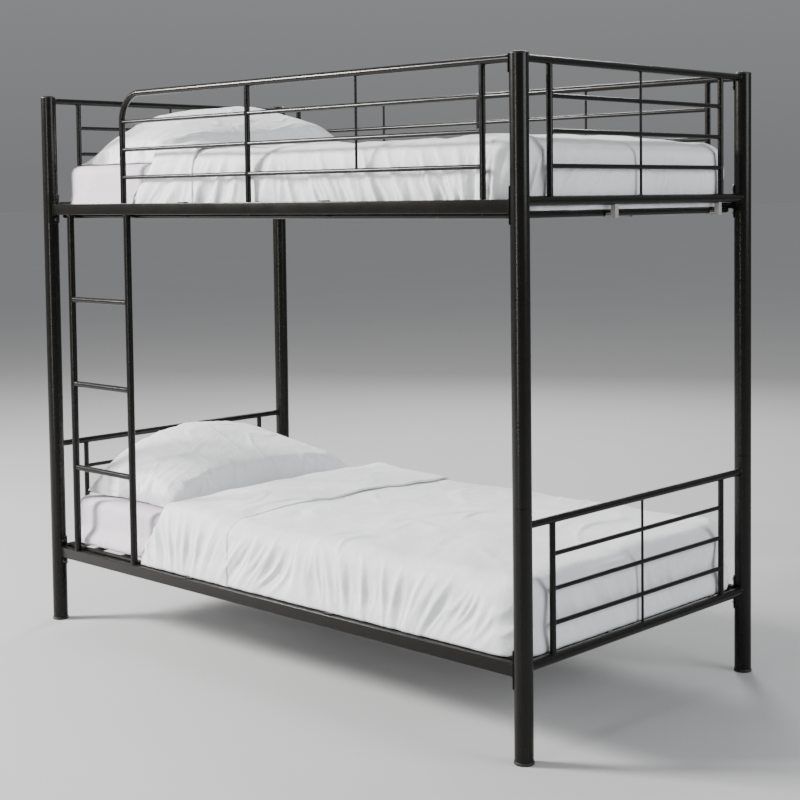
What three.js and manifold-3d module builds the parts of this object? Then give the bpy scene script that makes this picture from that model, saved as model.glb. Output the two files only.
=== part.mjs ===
// Bunk bed with ladder, in millimetres, +Z up. +X runs from the head end, where the ladder is, to the
// foot end, +Y runs to the rear, and the origin is on the floor under the middle of the bed.
import * as THREE from "three";
import { mergeVertices } from "three/addons/utils/BufferGeometryUtils.js";
import Module from "manifold-3d";

const wasm = await Module();
wasm.setup();

// Driving dimensions
const GAP = 0.3;
const MATTRESS_LENGTH = 1900;
const MATTRESS_WIDTH = 900;
const MATTRESS_HEIGHT = 150;
const HEIGHT = 1697;
const POST_SPAN_X = MATTRESS_LENGTH + 50; // between post axes
const POST_SPAN_Y = MATTRESS_WIDTH + 80;
const POST_R = 23.5;
const POST_WALL = 1.5;
const TOP_RAIL_R = 9.5;
const BOTTOM_RAIL_R = 12.5;
const UPRIGHT_R = 8;
const BAR_R = 6;
const THIN_ROD_R = 3.5;
const CAP_HEIGHT = 7;
const FOOT_HEIGHT = 8;
const LOWER_SEAM = 619; // where the post tubes meet
const UPPER_SEAM = 1114;
const SPIGOT_LENGTH = 50;
const UPRIGHT_INSET = 114; // from a post's axis to the nearest upright of its end frame
const END_BARS = 3;

// Levels of the two bunks: axes of the end frames' top and bottom rails, the side rail's middle and the
// base's top. duvetSide is how far the duvet stands out past the mattress, and duvetSlant how far its head
// edge falls back.
const BUNKS = {
  upper: { topRail: 1680, bottomRail: 1345, rail: 1333, base: 1321, duvetSide: 23, duvetSlant: 125 },
  lower: { topRail: 573, bottomRail: 231, rail: 224, base: 250, duvetSide: 32, duvetSlant: 85 },
};

const RAIL_HEIGHT = 34;
const RAIL_THICKNESS = 20;
const RAIL_WALL = 1.5;
const DRAIN_R = 3;
const SADDLE_THICKNESS = 3;
const SADDLE_HALF_ANGLE = THREE.MathUtils.degToRad(52);
const SADDLE_HEIGHT = 92;
const SADDLE_LIFT = 3; // the saddle's middle above the rail's middle
const BOLT_SPACING = 66;
const BOLT_R = 4;
const BOLT_HEAD_R = 6.5;
const BOLT_HEAD_HEIGHT = 5;
const BOLT_CLEARANCE = 0.4;

const GUARD_SADDLE_HEIGHT = 44;
const GUARD_SADDLE_DROP = 12; // the saddle's middle below the guard's top tube
const GUARD_BOLT_DROP = 22;
const GUARD_BARS = 3;
const GUARD_BEND_R = 85;
const GUARD_OPENING = 393; // from the head posts' axes to the guard's bent end
const GUARD_STUD_R = 4;
const GUARD_STUD_THROUGH = 5; // what shows under the side rail

const LADDER_STILE_R = 11;
const LADDER_WALL = 1.5;
const LADDER_RUNG_R = 9;
const LADDER_RUNGS = 3;
const LADDER_INSET = 108; // from the head posts' axes to the first stile
const LADDER_WIDTH = 300;
const LADDER_PIN_R = 5;
const LADDER_PIN_LENGTH = 12;

const BASE_TUBE_R = 9;
const BASE_HALF_LENGTH = 945;
const BASE_HALF_WIDTH = 467;
const SLATS = 12;
const SLAT_WIDTH = 45;
const SLAT_THICKNESS = 3;
const HANGER_X = 300;
const HANGER_WIDTH = 30;
const HANGER_THICKNESS = 3;
const CLIP_Y = [-115, 363];
const CLIP_WIDTH = 14;
const CLIP_THICKNESS = 2.5;

const MATTRESS_BACK = -957; // the mattress's head end
const PILLOW = { length: 460, width: 810, height: 160, x: -705, y: -10, rest: 25, rise: 130 };
const DUVET_THICKNESS = 38;
const DUVET_HEAD = -460;
const DUVET_FOOT_WALL = 17;

const SIDES = { post: 16, rail: 10, upright: 8, bar: 6, rod: 6 };

// Materials
function finish(color, roughness, metalness) {
  return new THREE.MeshStandardMaterial({ color, roughness, metalness });
}
const paint = () => finish(0x17160f, 0.32, 0.5);
const blackPlastic = () => finish(0x121211, 0.55, 0);
const boltSteel = () => finish(0x2b2a27, 0.35, 0.8);
const clipPlastic = () => finish(0xb9b8b2, 0.5, 0);
const sheetCotton = () => finish(0xe4e0e6, 0.9, 0);
const whiteCotton = () => finish(0xf1f2f4, 0.9, 0);

// Solids
const at = (x, y, z) => new THREE.Vector3(x, y, z);

function solid(geometry) {
  const bare = geometry.index ? geometry : mergeVertices(geometry);
  bare.deleteAttribute("normal");
  bare.deleteAttribute("uv");
  const merged = mergeVertices(bare, 1e-3);
  const vertProperties = new Float32Array(merged.attributes.position.array);
  const triVerts = new Uint32Array(merged.index.array);
  return new wasm.Manifold(new wasm.Mesh({ numProp: 3, vertProperties, triVerts }));
}

const join = (solids) => solids.reduce((whole, piece) => whole.add(piece));
const cut = (whole, tools) => tools.reduce((rest, tool) => rest.subtract(tool), whole);

function geometryOf(body) {
  const { vertProperties, triVerts, numProp } = body.getMesh();
  const points = new Float32Array((vertProperties.length / numProp) * 3);
  for (let i = 0; i < points.length / 3; i++) {
    for (let k = 0; k < 3; k++) points[3 * i + k] = vertProperties[numProp * i + k];
  }
  const geometry = new THREE.BufferGeometry();
  geometry.setAttribute("position", new THREE.BufferAttribute(points, 3));
  geometry.setIndex([...triVerts]);
  geometry.computeVertexNormals();
  return geometry;
}

function rod(from, to, radius, sides) {
  const run = to.clone().sub(from);
  const geometry = new THREE.CylinderGeometry(radius, radius, run.length(), sides);
  const turn = new THREE.Quaternion().setFromUnitVectors(at(0, 1, 0), run.clone().normalize());
  geometry.applyQuaternion(turn);
  const middle = from.clone().add(to).multiplyScalar(0.5);
  return solid(geometry.translate(middle.x, middle.y, middle.z));
}

function block(x0, x1, y0, y1, z0, z1) {
  const geometry = new THREE.BoxGeometry(x1 - x0, y1 - y0, z1 - z0);
  return solid(geometry.translate((x0 + x1) / 2, (y0 + y1) / 2, (z0 + z1) / 2));
}

// A shape drawn in X and Y, raised from z0 to z1.
function prism(shape, z0, z1) {
  const settings = { depth: z1 - z0, bevelEnabled: false, curveSegments: 4 };
  return solid(new THREE.ExtrudeGeometry(shape, settings).translate(0, 0, z0));
}

// A profile of [radius, height] pairs turned about a vertical axis through the origin.
function turned(profile, sides) {
  const geometry = new THREE.LatheGeometry(profile.map(([r, h]) => new THREE.Vector2(r, h)), sides);
  return solid(geometry.rotateX(Math.PI / 2));
}

const moved = (body, x, y, z) => body.translate([x, y, z]);

// The bed as a group of named meshes
const bed = new THREE.Group();
bed.name = "bunk_bed";

function add(name, body, material) {
  const mesh = new THREE.Mesh(geometryOf(body), material);
  mesh.name = name;
  bed.add(mesh);
}

const ENDS = { head: -1, foot: 1 };
const LONG_SIDES = { front: -1, rear: 1 };
const halfX = POST_SPAN_X / 2;
const halfY = POST_SPAN_Y / 2;
const postBoreR = POST_R - POST_WALL;
const postTop = HEIGHT - CAP_HEIGHT;
const postBottom = FOOT_HEIGHT;
const saddleOuterR = POST_R + GAP + SADDLE_THICKNESS;

function eachPost(make) {
  for (const [end, sx] of Object.entries(ENDS)) {
    for (const [side, sy] of Object.entries(LONG_SIDES)) make(`${end}_${side}`, sx * halfX, sy * halfY);
  }
}

function eachRail(make) {
  for (const [bunk, level] of Object.entries(BUNKS)) {
    for (const [side, sy] of Object.entries(LONG_SIDES)) make(bunk, side, level, sy);
  }
}

const railBoltLevels = (level) => {
  const middle = level.rail + SADDLE_LIFT;
  return { top: middle + BOLT_SPACING / 2, bottom: middle - BOLT_SPACING / 2 };
};

// The guards are bolted to three posts: both at the rear, and the foot post at the front.
const guardBolts = [
  { name: "front_foot", sx: 1, sy: -1 },
  { name: "rear_foot", sx: 1, sy: 1 },
  { name: "rear_head", sx: -1, sy: 1 },
];
const guardTop = BUNKS.upper.topRail;
const guardBoltZ = guardTop - GUARD_BOLT_DROP;

// End frames: two posts, two rails, two uprights, three bars between the uprights and a thin rod down
// the middle
function postHole(sx, sy, z) {
  const axis = at(sx * halfX, sy * halfY, z);
  const inward = at(sx * (halfX - POST_R * 1.5), sy * halfY, z);
  return rod(axis, inward, BOLT_R + BOLT_CLEARANCE, SIDES.bar);
}

function endFrame(bunk, sx, z0, z1) {
  const { topRail, bottomRail } = BUNKS[bunk];
  const x = sx * halfX;
  const across = (z, y, radius, sides) => rod(at(x, -y, z), at(x, y, z), radius, sides);
  const upright = (y, radius, sides) => rod(at(x, y, bottomRail), at(x, y, topRail), radius, sides);
  const uprightY = halfY - UPRIGHT_INSET;
  const outside = [
    across(topRail, halfY, TOP_RAIL_R, SIDES.rail),
    across(bottomRail, halfY, BOTTOM_RAIL_R, SIDES.rail),
    upright(uprightY, UPRIGHT_R, SIDES.upright),
    upright(-uprightY, UPRIGHT_R, SIDES.upright),
    upright(0, THIN_ROD_R, SIDES.rod),
  ];
  for (let i = 1; i <= END_BARS; i++) {
    const z = topRail + ((bottomRail - topRail) * i) / (END_BARS + 1);
    outside.push(across(z, uprightY, BAR_R, SIDES.bar));
  }
  const bores = [
    across(topRail, halfY, TOP_RAIL_R - POST_WALL, SIDES.rail),
    across(bottomRail, halfY, BOTTOM_RAIL_R - POST_WALL, SIDES.rail),
  ];
  const boltLevels = Object.values(railBoltLevels(BUNKS[bunk]));
  for (const sy of Object.values(LONG_SIDES)) {
    const y = sy * halfY;
    outside.push(rod(at(x, y, z0), at(x, y, z1), POST_R, SIDES.post));
    bores.push(rod(at(x, y, z0 - 1), at(x, y, z1 + 1), postBoreR, SIDES.post));
    for (const z of boltLevels) bores.push(postHole(sx, sy, z));
  }
  if (bunk === "upper") {
    const mine = guardBolts.filter((bolt) => bolt.sx === sx);
    for (const bolt of mine) bores.push(postHole(sx, bolt.sy, guardBoltZ));
  }
  return cut(join(outside), bores);
}

for (const [end, sx] of Object.entries(ENDS)) {
  add(`upper_${end}_end_frame`, endFrame("upper", sx, UPPER_SEAM + GAP / 2, postTop - GAP), paint());
  add(`lower_${end}_end_frame`, endFrame("lower", sx, postBottom + GAP, LOWER_SEAM - GAP / 2), paint());
}

// Posts between the end frames, whose swaged ends slide into the posts above and below
function middlePost() {
  const low = LOWER_SEAM + GAP / 2;
  const high = UPPER_SEAM - GAP / 2;
  const spigotR = postBoreR - GAP;
  const boreR = spigotR - POST_WALL;
  const profile = [
    [boreR, low - SPIGOT_LENGTH],
    [spigotR, low - SPIGOT_LENGTH],
    [spigotR, low],
    [POST_R, low],
    [POST_R, high],
    [spigotR, high],
    [spigotR, high + SPIGOT_LENGTH],
    [boreR, high + SPIGOT_LENGTH],
    [boreR, low - SPIGOT_LENGTH],
  ];
  return turned(profile, SIDES.post);
}

function postCap() {
  const plugR = postBoreR - GAP;
  const profile = [
    [0, -15],
    [plugR, -15],
    [plugR, 0],
    [POST_R + 0.5, 0],
    [POST_R + 0.5, 2.5],
    [POST_R - 3, 5.5],
    [0, CAP_HEIGHT],
  ];
  return moved(turned(profile, SIDES.post), 0, 0, postTop);
}

function footCap() {
  const plugR = postBoreR - GAP;
  const profile = [
    [0, 0],
    [POST_R, 0],
    [POST_R + 1.5, 2],
    [POST_R + 1.5, FOOT_HEIGHT],
    [plugR, FOOT_HEIGHT],
    [plugR, FOOT_HEIGHT + 20],
    [0, FOOT_HEIGHT + 20],
  ];
  return turned(profile, SIDES.post);
}

eachPost((where, x, y) => {
  add(`middle_post_${where}`, moved(middlePost(), x, y, 0), paint());
  add(`post_cap_${where}`, moved(postCap(), x, y, 0), blackPlastic());
  add(`foot_cap_${where}`, moved(footCap(), x, y, 0), blackPlastic());
});

// A curved plate that hugs a post on the side that faces the middle of the bed's length
function saddle(sx, y, middleZ, height) {
  const inner = POST_R + GAP;
  const towards = sx > 0 ? Math.PI : 0;
  const from = towards - SADDLE_HALF_ANGLE;
  const to = towards + SADDLE_HALF_ANGLE;
  const shape = new THREE.Shape();
  shape.absarc(0, 0, saddleOuterR, from, to, false);
  shape.absarc(0, 0, inner, to, from, true);
  return moved(prism(shape, middleZ - height / 2, middleZ + height / 2), sx * halfX, y, 0);
}

// The through holes of a saddle's bolts, along X
const saddleHole = (sx, y, z) => postHole(sx, Math.sign(y), z);

const GUARD_POSTS = { rear: [-861, 0, 861], front: [0, 861] };
const GUARD_RODS = { rear: [-430, 430], front: [430] };
const guardEndX = -halfX + GUARD_OPENING;
const stileX = [0, 1].map((i) => -halfX + LADDER_INSET + i * LADDER_WIDTH);

// Side rails: a flat tube welded between two saddles
function sideRail(bunk, side, level, sy) {
  const y = sy * halfY;
  const endX = halfX - POST_R - GAP - SADDLE_THICKNESS / 2;
  const bottom = level.rail - RAIL_HEIGHT / 2;
  const top = level.rail + RAIL_HEIGHT / 2;
  const half = RAIL_THICKNESS / 2;
  const inside = half - RAIL_WALL;
  const boreX = endX - SADDLE_THICKNESS;
  const outside = [block(-endX, endX, y - half, y + half, bottom, top)];
  const bores = [block(-boreX, boreX, y - inside, y + inside, bottom + RAIL_WALL, top - RAIL_WALL)];
  const hole = (x, z0, z1, radius) => rod(at(x, y, z0), at(x, y, z1), radius, SIDES.bar);
  for (const sx of Object.values(ENDS)) {
    const middle = level.rail + SADDLE_LIFT;
    outside.push(saddle(sx, y, middle, SADDLE_HEIGHT));
    for (const z of Object.values(railBoltLevels(level))) bores.push(saddleHole(sx, y, z));
    bores.push(hole(sx * (endX - 60), bottom - 1, level.rail, DRAIN_R));
  }
  if (bunk === "upper") {
    const studHole = (x) => hole(x, bottom - 1, top + 1, GUARD_STUD_R + BOLT_CLEARANCE);
    bores.push(...GUARD_POSTS[side].map(studHole));
  }
  if (side === "front") {
    const [z0, z1] = bunk === "upper" ? [bottom - 1, level.rail] : [level.rail, top + 1];
    for (const x of stileX) bores.push(hole(x, z0, z1, LADDER_PIN_R + BOLT_CLEARANCE));
  }
  if (bunk === "upper" && side === "front") {
    bores.push(hole(guardEndX, level.rail, top + 1, GUARD_STUD_R + BOLT_CLEARANCE));
  }
  return cut(join(outside), bores);
}

eachRail((bunk, side, level, sy) => {
  add(`${bunk}_${side}_side_rail`, sideRail(bunk, side, level, sy), paint());
});

// Button-head bolts along X, whose shanks end inside the posts
function bolt(sx, y, z) {
  const headBack = saddleOuterR + GAP;
  const inward = (reach) => at(sx * (halfX - reach), y, z);
  const shank = rod(inward(POST_R * 0.4), inward(headBack + 1), BOLT_R, SIDES.bar);
  const profile = [
    [0, 0],
    [BOLT_HEAD_R, 0],
    [BOLT_HEAD_R, BOLT_HEAD_HEIGHT * 0.5],
    [BOLT_HEAD_R * 0.65, BOLT_HEAD_HEIGHT],
    [0, BOLT_HEAD_HEIGHT],
  ];
  const head = turned(profile, SIDES.upright).rotate([0, -sx * 90, 0]);
  return shank.add(moved(head, sx * (halfX - headBack), y, z));
}

eachRail((bunk, side, level, sy) => {
  for (const [end, sx] of Object.entries(ENDS)) {
    for (const [place, z] of Object.entries(railBoltLevels(level))) {
      add(`rail_bolt_${bunk}_${side}_${end}_${place}`, bolt(sx, sy * halfY, z), boltSteel());
    }
  }
});
for (const { name, sx, sy } of guardBolts) {
  add(`guard_bolt_${name}`, bolt(sx, sy * halfY, guardBoltZ), boltSteel());
}

// Guard rails of the upper bunk: a top tube on uprights, with bars at the end frames' levels
const railTop = BUNKS.upper.rail + RAIL_HEIGHT / 2;
const guardBarZ = [...Array(GUARD_BARS)].map((_, i) => {
  const { topRail, bottomRail } = BUNKS.upper;
  return topRail + ((bottomRail - topRail) * (i + 1)) / (END_BARS + 1);
});

class QuarterBend extends THREE.Curve {
  constructor(x, y, z, radius) {
    super();
    Object.assign(this, { x, y, z, radius });
  }
  getPoint(t, target = at(0, 0, 0)) {
    const a = (t * Math.PI) / 2;
    return target.set(this.x - this.radius * Math.sin(a), this.y, this.z + this.radius * Math.cos(a));
  }
}

function bend(curve, radius) {
  const section = new THREE.Shape().absarc(0, 0, radius, 0, 2 * Math.PI);
  const settings = { steps: 6, extrudePath: curve, curveSegments: SIDES.rail / 2, bevelEnabled: false };
  return solid(new THREE.ExtrudeGeometry(section, settings));
}

function guard(side, y, fromX, toX) {
  const along = (x0, x1, z, radius, sides) => rod(at(x0, y, z), at(x1, y, z), radius, sides);
  const upright = (x, z0, radius, sides) => rod(at(x, y, z0), at(x, y, guardTop), radius, sides);
  const foot = railTop + GAP;
  const railBottom = railTop - RAIL_HEIGHT;
  const outside = guardBarZ.map((z) => along(fromX, toX, z, BAR_R, SIDES.bar));
  for (const x of GUARD_POSTS[side]) {
    outside.push(upright(x, foot, UPRIGHT_R, SIDES.upright));
    outside.push(rod(at(x, y, railBottom - GUARD_STUD_THROUGH), at(x, y, foot + 1), GUARD_STUD_R, SIDES.bar));
  }
  for (const x of GUARD_RODS[side]) {
    outside.push(upright(x, guardBarZ[GUARD_BARS - 1], THIN_ROD_R, SIDES.rod));
  }
  return outside;
}

function guardSaddle(sx, y) {
  return saddle(sx, y, guardTop - GUARD_SADDLE_DROP, GUARD_SADDLE_HEIGHT);
}

function frontGuard() {
  const y = -halfY;
  const tubeEnd = halfX - saddleOuterR + 1;
  const lastPost = Math.max(...GUARD_POSTS.front);
  const pieces = guard("front", y, guardEndX, lastPost);
  const bendX = guardEndX + GUARD_BEND_R;
  const bendZ = guardTop - GUARD_BEND_R;
  pieces.push(rod(at(bendX - 1, y, guardTop), at(tubeEnd, y, guardTop), TOP_RAIL_R, SIDES.rail));
  pieces.push(bend(new QuarterBend(bendX, y, bendZ, GUARD_BEND_R), TOP_RAIL_R));
  pieces.push(rod(at(guardEndX, y, railTop + GAP), at(guardEndX, y, bendZ + 1), TOP_RAIL_R, SIDES.rail));
  pieces.push(rod(at(guardEndX, y, railTop - 10), at(guardEndX, y, railTop + 2), GUARD_STUD_R, SIDES.bar));
  pieces.push(guardSaddle(1, y));
  return cut(join(pieces), [saddleHole(1, y, guardBoltZ)]);
}

function rearGuard() {
  const y = halfY;
  const tubeEnd = halfX - saddleOuterR + 1;
  const lastPost = Math.max(...GUARD_POSTS.rear);
  const pieces = guard("rear", y, -lastPost, lastPost);
  pieces.push(rod(at(-tubeEnd, y, guardTop), at(tubeEnd, y, guardTop), TOP_RAIL_R, SIDES.rail));
  const holes = [];
  for (const sx of Object.values(ENDS)) {
    pieces.push(guardSaddle(sx, y));
    holes.push(saddleHole(sx, y, guardBoltZ));
  }
  return cut(join(pieces), holes);
}

add("front_guard_rail", frontGuard(), paint());
add("rear_guard_rail", rearGuard(), paint());

// Ladder: two stiles between the front side rails, pinned into both, with rungs at equal steps
function ladder() {
  const y = -halfY;
  const z0 = BUNKS.lower.rail + RAIL_HEIGHT / 2 + GAP;
  const z1 = BUNKS.upper.rail - RAIL_HEIGHT / 2 - GAP;
  const pieces = [];
  for (const x of stileX) {
    pieces.push(rod(at(x, y, z0), at(x, y, z1), LADDER_STILE_R, SIDES.rail));
    const pinEnds = [at(x, y, z0 - LADDER_PIN_LENGTH), at(x, y, z1 + LADDER_PIN_LENGTH)];
    pieces.push(rod(...pinEnds, LADDER_PIN_R, SIDES.bar));
  }
  for (let i = 1; i <= LADDER_RUNGS; i++) {
    const z = z0 + ((z1 - z0) * i) / (LADDER_RUNGS + 1);
    pieces.push(rod(at(stileX[0], y, z), at(stileX[1], y, z), LADDER_RUNG_R, SIDES.rail));
  }
  return join(pieces);
}

add("ladder", ladder(), paint());

// Mattress bases: a tube frame with steel slats and a spine, hung from the side rails and clipped to the
// end frames
function mattressBase(level) {
  const z = level.base - BASE_TUBE_R;
  const pieces = [];
  const tube = (from, to) => pieces.push(rod(from, to, BASE_TUBE_R, SIDES.upright));
  for (const s of [-1, 1]) {
    const x = s * BASE_HALF_LENGTH;
    const y = s * BASE_HALF_WIDTH;
    tube(at(x, -BASE_HALF_WIDTH, z), at(x, BASE_HALF_WIDTH, z));
    tube(at(-BASE_HALF_LENGTH, y, z), at(BASE_HALF_LENGTH, y, z));
  }
  const spineZ = level.base - SLAT_THICKNESS - BASE_TUBE_R + 1;
  tube(at(-BASE_HALF_LENGTH, 0, spineZ), at(BASE_HALF_LENGTH, 0, spineZ));
  for (let i = 0; i < SLATS; i++) {
    const x = -BASE_HALF_LENGTH + (2 * BASE_HALF_LENGTH * (i + 1)) / (SLATS + 1);
    const half = SLAT_WIDTH / 2;
    const top = level.base - 0.5;
    pieces.push(block(x - half, x + half, -BASE_HALF_WIDTH, BASE_HALF_WIDTH, top - SLAT_THICKNESS, top));
  }
  const railFace = halfY - RAIL_THICKNESS / 2;
  const hookZ = level.rail + RAIL_HEIGHT / 2 + GAP;
  for (const sx of [-1, 1]) {
    for (const sy of [-1, 1]) {
      const x0 = sx * HANGER_X - HANGER_WIDTH / 2;
      const plate = (y0, y1, z0, z1) => {
        const [a, b] = sy > 0 ? [y0, y1] : [-y1, -y0];
        return block(x0, x0 + HANGER_WIDTH, a, b, z0, z1);
      };
      const face = railFace - GAP - 0.2;
      pieces.push(plate(BASE_HALF_WIDTH, face, z - HANGER_THICKNESS, z + HANGER_THICKNESS));
      pieces.push(plate(face - HANGER_THICKNESS, face, z, hookZ + HANGER_THICKNESS));
      pieces.push(plate(face - HANGER_THICKNESS, halfY + 4, hookZ, hookZ + HANGER_THICKNESS));
    }
  }
  return join(pieces);
}

// A clip that cups the base's end tube from below and reaches out to the end frame's bottom rail
function baseClip(sx, y, level) {
  const tubeZ = level.base - BASE_TUBE_R;
  const inner = BASE_TUBE_R + GAP;
  const outer = inner + CLIP_THICKNESS;
  const y0 = y - CLIP_WIDTH / 2;
  const y1 = y + CLIP_WIDTH / 2;
  const plate = (x0, x1, z0, z1) => {
    const [a, b] = sx > 0 ? [x0, x1] : [-x1, -x0];
    return block(a, b, y0, y1, z0, z1);
  };
  const tube = (x, z, radius, sides) => rod(at(sx * x, y0 - 1, z), at(sx * x, y1 + 1, z), radius, sides);
  const cup = tube(BASE_HALF_LENGTH, tubeZ, outer, SIDES.upright).intersect(
    plate(BASE_HALF_LENGTH - outer, BASE_HALF_LENGTH + outer, tubeZ - outer, tubeZ + 1),
  );
  const arm = plate(BASE_HALF_LENGTH, halfX + 7, tubeZ - outer, tubeZ - BASE_TUBE_R + 4);
  const riser = plate(halfX - 7, halfX + 7, tubeZ - outer, level.bottomRail);
  const whole = join([cup, arm, riser]);
  const baseTube = tube(BASE_HALF_LENGTH, tubeZ, inner, SIDES.upright);
  const bottomRail = tube(halfX, level.bottomRail, BOTTOM_RAIL_R + GAP, SIDES.rail);
  return cut(whole, [baseTube, bottomRail]);
}

for (const [bunk, level] of Object.entries(BUNKS)) {
  add(`${bunk}_mattress_base`, mattressBase(level), paint());
  for (const [end, sx] of Object.entries(ENDS)) {
    CLIP_Y.forEach((y, i) => {
      add(`base_clip_${bunk}_${end}_${i ? "rear" : "front"}`, baseClip(sx, y, level), clipPlastic());
    });
  }
}

// Bedding: a slab with rounded corners in plan and soft edges, from z0 up
function slab(x0, x1, halfWidth, z0, height, corner, edge) {
  const [left, right, side, r] = [x0 + edge, x1 - edge, halfWidth - edge, corner - edge];
  const shape = new THREE.Shape();
  shape.absarc(right - r, side - r, r, 0, Math.PI / 2);
  shape.absarc(left + r, side - r, r, Math.PI / 2, Math.PI);
  shape.absarc(left + r, r - side, r, Math.PI, Math.PI * 1.5);
  shape.absarc(right - r, r - side, r, Math.PI * 1.5, Math.PI * 2);
  const depth = height - 2 * edge;
  const settings = { depth, bevelThickness: edge, bevelSize: edge, bevelSegments: 3, curveSegments: 2 };
  return solid(new THREE.ExtrudeGeometry(shape, settings).translate(0, 0, z0 + edge));
}

const mattressFoot = MATTRESS_BACK + MATTRESS_LENGTH;

function mattress(level) {
  const bottom = level.base + GAP;
  return slab(MATTRESS_BACK, mattressFoot, MATTRESS_WIDTH / 2, bottom, MATTRESS_HEIGHT, 60, 25);
}

// A squarish crowned cushion that leans on the head end frame: its middle is raised towards the head, its
// ends droop, and it is nearly flat where it lies on the mattress
function pillow(level) {
  const floor = level.base + MATTRESS_HEIGHT + 2 * GAP;
  const ball = new THREE.SphereGeometry(1, 16, 10);
  const geometry = mergeVertices(ball.deleteAttribute("normal").deleteAttribute("uv"));
  const points = geometry.attributes.position;
  const square = (v) => Math.sign(v) * Math.abs(v) ** 0.55;
  for (let i = 0; i < points.count; i++) {
    const x = (square(points.getX(i)) * PILLOW.length) / 2;
    const y = (square(points.getZ(i)) * PILLOW.width) / 2;
    const z = (points.getY(i) * PILLOW.height) / 2;
    const [u, v] = [(2 * x) / PILLOW.length, (2 * y) / PILLOW.width];
    const lift = PILLOW.rest + PILLOW.rise * (1 - v * v) * (0.45 - 0.55 * u);
    points.setXYZ(i, PILLOW.x + x, PILLOW.y - y, floor + Math.max(z + lift, (z + PILLOW.height) * 0.02));
  }
  return solid(geometry);
}

// The duvet lies over the mattress and is tucked in along both sides and at the foot. Its head edge is
// straight across the top and slants towards the head down the sides.
function duvet(level) {
  const mattressTop = level.base + MATTRESS_HEIGHT + GAP;
  const foot = mattressFoot + 1;
  const half = MATTRESS_WIDTH / 2 + 1;
  const tuck = level.base + 2;
  const below = tuck - 60;
  const top = mattressTop + DUVET_THICKNESS;
  const head = DUVET_HEAD - level.duvetSlant;
  const halfOutside = half + level.duvetSide;
  const outside = slab(head - 200, foot + DUVET_FOOT_WALL, halfOutside, below, top - below, 80, 28);
  const inside = slab(head - 400, foot, half, below - 60, mattressTop + 1 - below + 60, 61, 25);
  const sideView = new THREE.Shape([
    new THREE.Vector2(DUVET_HEAD, top + 1),
    new THREE.Vector2(DUVET_HEAD, mattressTop),
    new THREE.Vector2(head, tuck),
    new THREE.Vector2(foot + 100, tuck),
    new THREE.Vector2(foot + 100, top + 1),
  ]);
  const kept = new THREE.ExtrudeGeometry(sideView, { depth: POST_SPAN_Y, bevelEnabled: false });
  kept.rotateX(Math.PI / 2);
  kept.translate(0, halfY, 0);
  return outside.subtract(inside).intersect(solid(kept));
}

for (const [bunk, level] of Object.entries(BUNKS)) {
  add(`${bunk}_mattress`, mattress(level), sheetCotton());
  add(`${bunk}_pillow`, pillow(level), whiteCotton());
  add(`${bunk}_duvet`, duvet(level), whiteCotton());
}

export default bed;
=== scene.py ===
"""Bunk bed with ladder: smooth steel tubes, caps and bolts, soft bedding, materials and light."""

import functools
import math

import bmesh
import bpy
from mathutils import Matrix, Vector, noise


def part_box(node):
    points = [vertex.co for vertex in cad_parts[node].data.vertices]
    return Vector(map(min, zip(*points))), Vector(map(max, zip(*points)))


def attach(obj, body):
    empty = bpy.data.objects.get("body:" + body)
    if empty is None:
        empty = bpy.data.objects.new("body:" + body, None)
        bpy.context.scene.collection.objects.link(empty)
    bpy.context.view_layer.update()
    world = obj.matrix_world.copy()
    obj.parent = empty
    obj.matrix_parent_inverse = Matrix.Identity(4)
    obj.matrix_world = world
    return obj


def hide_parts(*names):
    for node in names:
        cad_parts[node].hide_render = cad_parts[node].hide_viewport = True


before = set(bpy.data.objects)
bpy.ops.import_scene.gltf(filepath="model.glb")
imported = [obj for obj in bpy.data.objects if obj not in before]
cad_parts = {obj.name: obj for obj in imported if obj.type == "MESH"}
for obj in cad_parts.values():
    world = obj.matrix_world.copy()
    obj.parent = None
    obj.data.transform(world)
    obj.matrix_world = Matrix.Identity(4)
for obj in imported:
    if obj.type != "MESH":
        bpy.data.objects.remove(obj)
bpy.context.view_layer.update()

MM = 0.001
X, Y, Z = Vector((1, 0, 0)), Vector((0, 1, 0)), Vector((0, 0, 1))
ENDS = {"head": -1, "foot": 1}
LONG_SIDES = {"front": -1, "rear": 1}
BUNKS = ("upper", "lower")


# ---------------------------------------------------------------- the frame's dimensions, from the CAD boxes
@functools.lru_cache(maxsize=None)
def corners(node):
    return tuple(Vector(corner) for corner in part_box(node))


def low(node):
    return corners(node)[0]


def high(node):
    return corners(node)[1]


def middle(node):
    return (low(node) + high(node)) / 2


GAP = 0.3 * MM
POST_R = (high("middle_post_foot_rear").x - low("middle_post_foot_rear").x) / 2
POST_X = middle("middle_post_foot_rear").x
POST_Y = middle("middle_post_foot_rear").y
POST_WALL = 1.5 * MM
PLUG_R = POST_R - POST_WALL - GAP
CAP_HEIGHT = 7 * MM
FOOT_HEIGHT = 8 * MM
TOP_RAIL_R = 9.5 * MM
BOTTOM_RAIL_R = 12.5 * MM
UPRIGHT_R = 8 * MM
BAR_R = 6 * MM
THIN_ROD_R = 3.5 * MM
UPRIGHT_INSET = 114 * MM
UPRIGHT_Y = POST_Y - UPRIGHT_INSET
SADDLE_THICKNESS = 3 * MM
SADDLE_R = POST_R + GAP + SADDLE_THICKNESS
SADDLE_HALF_ANGLE = math.radians(52)
SPIGOT = 50 * MM
RAIL_HEIGHT = 34 * MM
RAIL_THICKNESS = 20 * MM
STILE_R = 11 * MM
RUNG_R = 9 * MM
BASE_R = 9 * MM

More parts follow.
